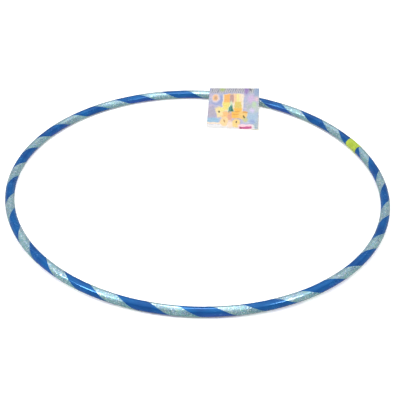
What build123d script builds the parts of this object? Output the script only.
from build123d import *
import math
import os

os.makedirs("parts", exist_ok=True)

# A rhythmic hoop lying on its side, with the card tag it is sold with.
# Millimetres. +Z is up, the origin is the middle of the ring on the surface it lies on,
# and azimuths are measured from +X towards +Y.

# ---------------------------------------------------------------- driving dimensions

# the ring
hoop_diameter = 800.0  # outside
tube_diameter = 19.0
tube_wall = 1.5

# the butt joint
seam_azimuth = 26.4
seam_gap = 0.6
plug_length = 70.0
plug_wall = 2.0
plug_clearance = 0.05  # between a rib and the bore
rib_count = 8
rib_width = 2.5
rib_height = 0.4
plug_nose = 0.8  # chamfer at each end of the plug

# the wire staples that hold the tube on the plug
staple_wire = 0.7
staple_crown = 10.0
staple_leg = 4.8
staple_bend = 0.6
staple_offset = 11.0  # from the seam to the middle of the crown
staple_pierce = 0.01  # the plastic stands this far off the wire

# the glitter tape, wound round the tube from one side of the seam to the other
ribbon_turns = 21
ribbon_width = 24.0
ribbon_thickness = 0.2
ribbon_phase = 0.0  # round the tube, of the middle of the tape where it starts
ribbon_end = 5.0  # from the seam to each end of the tape
guide_points = 12  # along one turn

# the tape collar over the seam
collar_width = 38.0
collar_thickness = 0.2
tape_seat = 0.02  # glue line under a tape

# the folded card tag
card_width = 121.0
card_thickness = 0.35
card_reach = 135.0  # from the glued edge to the middle of the tube
card_behind = 10.0  # from the middle of the tube to the middle of the fold
fold_room = 4.5  # the fold's radius is that much more than the tube's
lip_length = 12.0  # of the front panel, flat on the back panel
crease_radius = 20.0
glue_margin = 2.0
glue_width = 7.0
glue_thickness = 0.15
tag_azimuth = 78.0
tag_skew = 10.5  # the tag lies this much askew on the tube
slide_clearance = 0.3  # between the tag and the widest place of the hoop

# ---------------------------------------------------------------- sizes that follow

tube_radius = tube_diameter / 2
bore_radius = tube_radius - tube_wall
ring_radius = hoop_diameter / 2 - tube_radius  # of the tube's middle line
ribbon_inner = tube_radius + tape_seat
ribbon_outer = ribbon_inner + ribbon_thickness
collar_inner = ribbon_outer + tape_seat
collar_outer = collar_inner + collar_thickness
ring_height = card_thickness + slide_clearance + collar_outer


def arc_of(length):
    """The angle in degrees that a length along the tube's middle line takes."""
    return math.degrees(length / ring_radius)


def on_ring(azimuth):
    """The plane across the tube at an azimuth: x points outwards and y up."""
    a = math.radians(azimuth)
    outwards = Vector(math.cos(a), math.sin(a), 0)
    middle = outwards * ring_radius + Vector(0, 0, ring_height)
    return Plane(origin=middle, x_dir=outwards, z_dir=outwards.rotate(Axis.Z, -90))


# ---------------------------------------------------------------- wire staples

# A staple's middle line: a straight crown bedded flush with the inside of the ring, and two
# legs that run outwards through the tube's wall and the plug's.
crown_at = staple_wire / 2 - tube_radius
staple_line = [
    (staple_crown / 2, crown_at + staple_leg),
    (staple_crown / 2, crown_at),
    (-staple_crown / 2, crown_at),
    (-staple_crown / 2, crown_at + staple_leg),
]
staple_azimuths = [seam_azimuth + side * arc_of(staple_offset) for side in (-1, 1)]


def staple_plane(azimuth):
    """The level plane at the tube's middle: x runs along the tube and y outwards."""
    section = on_ring(azimuth)
    return Plane(origin=section.origin, x_dir=section.z_dir, z_dir=(0, 0, 1))


piercings = []
for number, azimuth in enumerate(staple_azimuths, start=1):
    for radius in (staple_wire / 2, staple_wire / 2 + staple_pierce):
        with BuildPart() as staple:
            with BuildLine(staple_plane(azimuth)) as wire_line:
                FilletPolyline(*staple_line, radius=staple_bend)
            with BuildSketch(Plane(origin=wire_line.line @ 0, z_dir=wire_line.line % 0)):
                Circle(radius)
            sweep()
        if radius == staple_wire / 2:
            staple.part.label = f"joint_staple_{number}"
            export_step(staple.part, f"parts/joint_staple_{number}.step")
        else:
            piercings.append(staple.part)

# ---------------------------------------------------------------- tube

with BuildPart() as hoop_tube:
    with BuildSketch(on_ring(seam_azimuth + arc_of(seam_gap / 2))):
        Circle(tube_radius)
        Circle(bore_radius, mode=Mode.SUBTRACT)
    revolve(axis=Axis.Z, revolution_arc=360 - arc_of(seam_gap))
    for piercing in piercings:
        add(piercing, mode=Mode.SUBTRACT)
hoop_tube.part.label = "hoop_tube"
export_step(hoop_tube.part, "parts/hoop_tube.step")

# ---------------------------------------------------------------- plug inside the seam

rib_radius = bore_radius - plug_clearance
plug_radius = rib_radius - rib_height
plug_start = seam_azimuth - arc_of(plug_length / 2)
rib_pitch = (plug_length - 2 * plug_nose - rib_width) / (rib_count - 1)

with BuildPart() as joint_plug:
    with BuildSketch(on_ring(plug_start)):
        Circle(plug_radius)
    revolve(axis=Axis.Z, revolution_arc=arc_of(plug_length))
    chamfer(joint_plug.edges(), plug_nose)
    for rib in range(rib_count):
        with BuildSketch(on_ring(plug_start + arc_of(plug_nose + rib * rib_pitch))):
            Circle(rib_radius)
        revolve(axis=Axis.Z, revolution_arc=arc_of(rib_width))
    with BuildSketch(on_ring(plug_start)):
        Circle(plug_radius - plug_wall)
    revolve(axis=Axis.Z, revolution_arc=arc_of(plug_length), mode=Mode.SUBTRACT)
    for piercing in piercings:
        add(piercing, mode=Mode.SUBTRACT)
joint_plug.part.label = "joint_plug"
export_step(joint_plug.part, "parts/joint_plug.step")

# ---------------------------------------------------------------- glitter tape

# Seen across the tube, the tape is wider than its own width, because it runs askew.
tape_run = 360 - 2 * arc_of(ribbon_end)
turn_arc = tape_run / ribbon_turns
turn_length = math.radians(turn_arc) * ring_radius
tape_lean = math.atan2(2 * math.pi * tube_radius, turn_length)
tape_arc = math.degrees(ribbon_width / math.cos(tape_lean) / tube_radius)
tape_start = seam_azimuth + arc_of(ribbon_end)


def beside_tube(turned):
    """A point out beyond the tape's middle, after the given part of one turn."""
    section = on_ring(tape_start + turn_arc * turned)
    phase = math.radians(ribbon_phase - 360 * turned)
    reach = tube_diameter * 1.5
    return section.from_local_coords((reach * math.cos(phase), reach * math.sin(phase)))


with BuildPart() as tape_turn:
    with BuildLine() as middle_line:
        CenterArc((0, 0, ring_height), ring_radius, tape_start, turn_arc)
    with BuildLine() as guide_line:
        Spline([beside_tube(step / guide_points) for step in range(guide_points + 1)])
    with BuildSketch(on_ring(tape_start)):
        with BuildLine():
            outer = CenterArc((0, 0), ribbon_outer, ribbon_phase - tape_arc / 2, tape_arc)
            inner = CenterArc((0, 0), ribbon_inner, ribbon_phase - tape_arc / 2, tape_arc)
            Line(outer @ 0, inner @ 0)
            Line(outer @ 1, inner @ 1)
        make_face()
    sweep(path=middle_line.wire(), binormal=guide_line.wire())

with BuildPart() as glitter_ribbon:
    with PolarLocations(0, ribbon_turns, angular_range=tape_run):
        add(tape_turn.part)
glitter_ribbon.part.label = "glitter_ribbon"
export_step(glitter_ribbon.part, "parts/glitter_ribbon.step")

# ---------------------------------------------------------------- tape collar

with BuildPart() as joint_collar:
    with BuildSketch(on_ring(seam_azimuth - arc_of(collar_width / 2))):
        Circle(collar_outer)
        Circle(collar_inner, mode=Mode.SUBTRACT)
    revolve(axis=Axis.Z, revolution_arc=arc_of(collar_width))
joint_collar.part.label = "joint_collar"
export_step(joint_collar.part, "parts/joint_collar.step")

# ---------------------------------------------------------------- card tag

# The card is drawn edge on: the back panel flat on the ground, the fold round the tube, and
# the front panel back down to a lip glued on the back panel.
fold_radius = tube_radius + fold_room
fold_middle = (card_reach + card_behind, fold_radius)
crease = (lip_length, 2 * card_thickness + glue_thickness)
rise = fold_middle[1] - crease[1]
run = fold_middle[0] - crease[0]
front_slope = math.degrees(math.atan2(rise, run) + math.asin(fold_radius / math.hypot(rise, run)))

along_tag = Vector(1, 0, 0).rotate(Axis.Z, tag_azimuth - 90 + tag_skew)
up_tag = along_tag.rotate(Axis.Z, 90)
tag_on_tube = Vector(ring_radius, 0, 0).rotate(Axis.Z, tag_azimuth)
tag_plane = Plane(origin=tag_on_tube - up_tag * card_reach, x_dir=up_tag, z_dir=along_tag)

with BuildPart() as hang_tag_card:
    with BuildSketch(tag_plane):
        with BuildLine() as card_line:
            Line((0, 0), (fold_middle[0], 0))
            fold = CenterArc(fold_middle, fold_radius, -90, 180 + front_slope)
            Line(fold @ 1, crease)
            Line(crease, (0, crease[1]))
            corners = card_line.vertices().sort_by_distance(tag_plane.from_local_coords(crease))
            fillet(corners[0], crease_radius)
            offset(amount=card_thickness, side=Side.LEFT)
        make_face()
    extrude(amount=card_width / 2, both=True)
hang_tag_card.part.label = "hang_tag_card"
export_step(hang_tag_card.part, "parts/hang_tag_card.step")

with BuildPart() as tag_glue_strip:
    with BuildSketch(tag_plane):
        with Locations((glue_margin, card_thickness)):
            Rectangle(glue_width, glue_thickness, align=(Align.MIN, Align.MIN))
    extrude(amount=card_width / 2 - glue_margin, both=True)
tag_glue_strip.part.label = "tag_glue_strip"
export_step(tag_glue_strip.part, "parts/tag_glue_strip.step")
